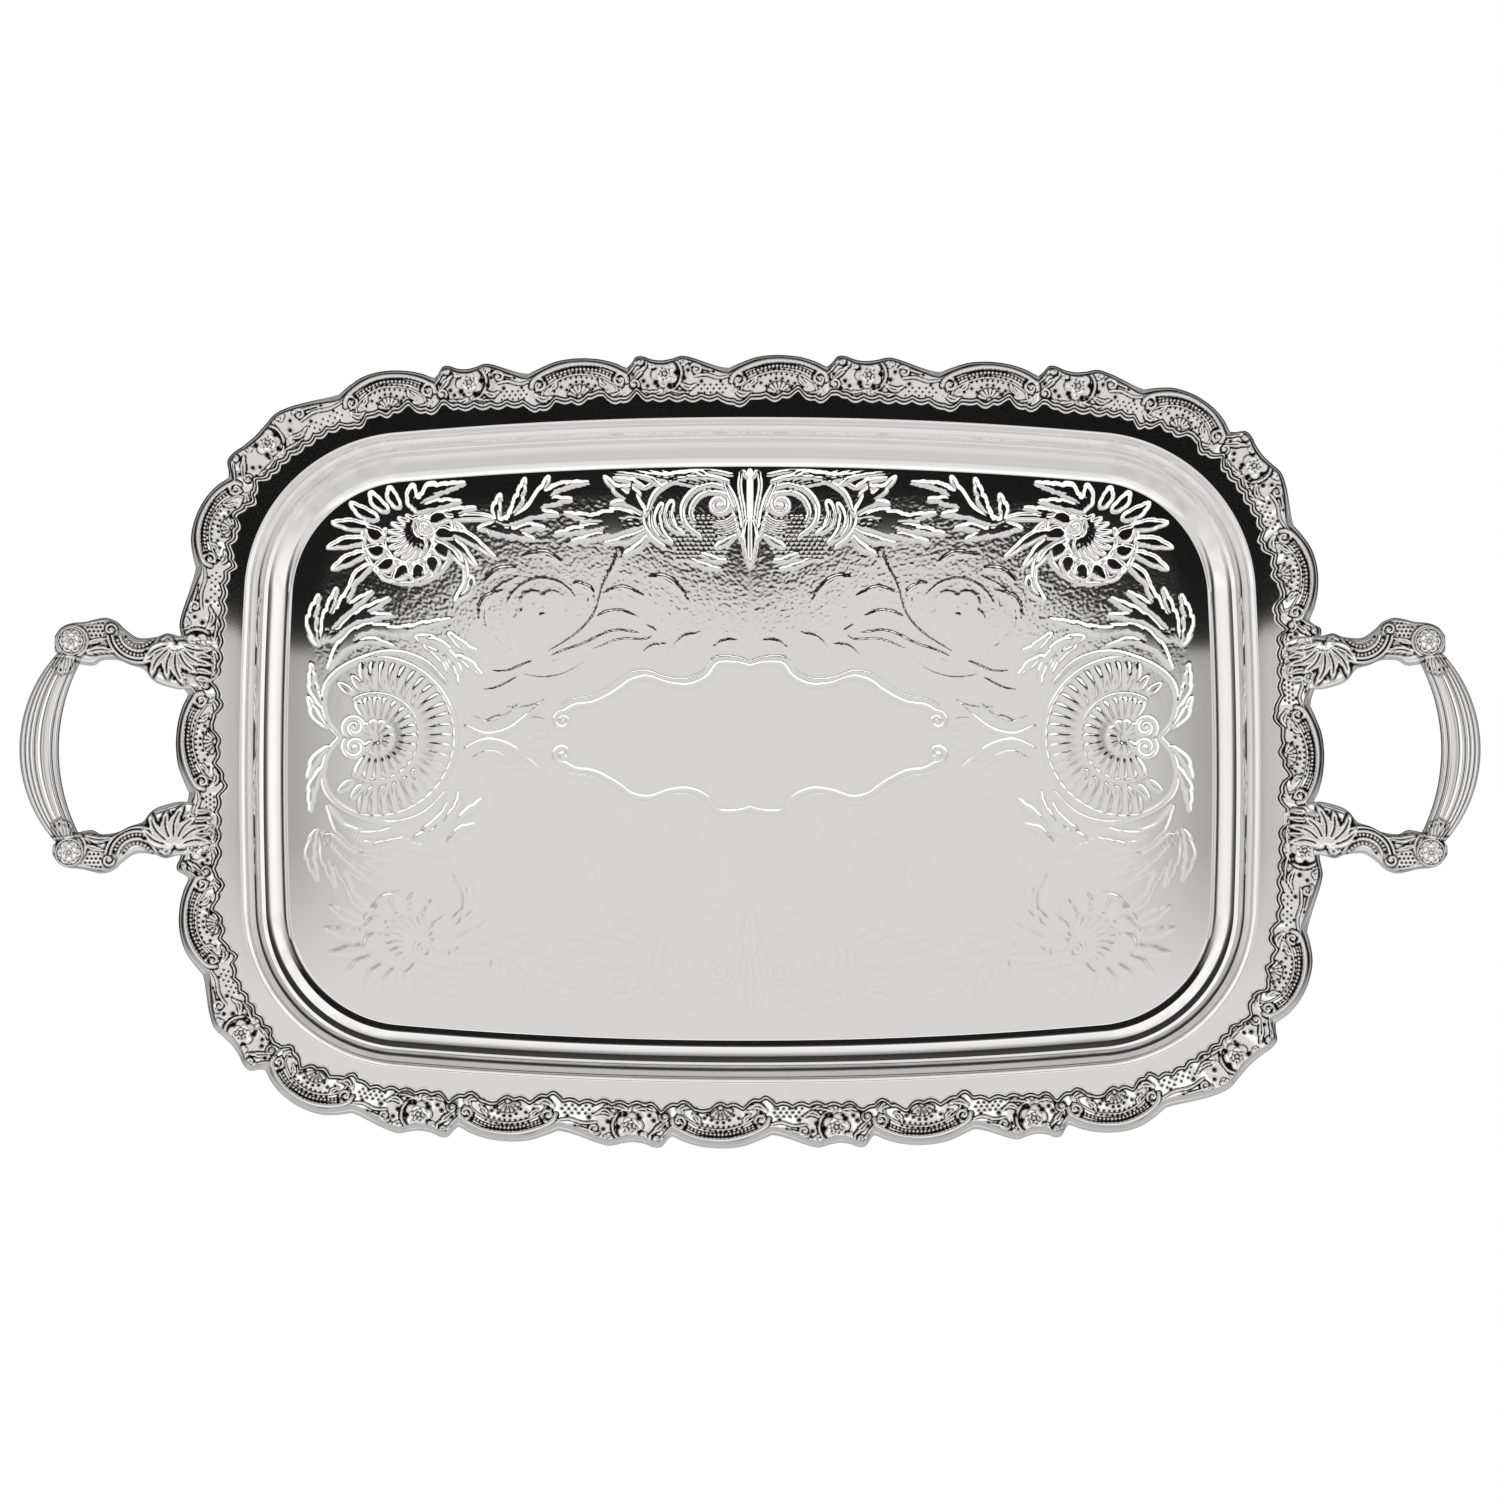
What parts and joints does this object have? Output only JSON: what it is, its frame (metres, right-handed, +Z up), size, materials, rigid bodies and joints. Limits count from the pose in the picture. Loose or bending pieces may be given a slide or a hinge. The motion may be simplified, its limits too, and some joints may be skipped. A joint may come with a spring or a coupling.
{
  "type": "serving tray",
  "caption": "Rectangular two-handled serving tray: pressed pan with a stepped wall, cast scalloped border, and bowed side handles screwed under the flange.",
  "frame": {"origin": "On the surface the tray rests on, under the middle of the floor and of the whole outline.", "axes": "+X along the long side through both handles, +Y to the back long side, +Z up."},
  "size_m": [0.647, 0.354, 0.0287],
  "materials": {
    "plated_sheet": "silver plate on pressed brass sheet, polished wall and flange, embossed satin floor",
    "plated_casting": "silver plate on cast ornament, bright on the high points and darker in the recesses",
    "plated_grip": "silver plate, polished",
    "steel_fixing": "nickel-plated steel"
  },
  "bodies": {
    "root": {"tray_pan": "plated_sheet", "border_casting_01": "plated_casting", "border_casting_02": "plated_casting", "border_casting_03": "plated_casting", "border_casting_04": "plated_casting", "border_casting_05": "plated_casting", "border_casting_06": "plated_casting", "border_casting_07": "plated_casting", "border_casting_08": "plated_casting", "border_casting_09": "plated_casting", "border_casting_10": "plated_casting", "border_casting_11": "plated_casting", "border_casting_12": "plated_casting", "border_casting_13": "plated_casting", "border_casting_14": "plated_casting", "border_casting_15": "plated_casting", "border_casting_16": "plated_casting", "left_grip": "plated_grip", "right_grip": "plated_grip", "left_back_arm": "plated_casting", "left_front_arm": "plated_casting", "right_back_arm": "plated_casting", "right_front_arm": "plated_casting", "left_back_rosette": "plated_casting", "left_front_rosette": "plated_casting", "right_back_rosette": "plated_casting", "right_front_rosette": "plated_casting", "handle_studs": "steel_fixing", "handle_washers": "steel_fixing", "handle_cap_nuts": "steel_fixing"}
  },
  "joints": []
}
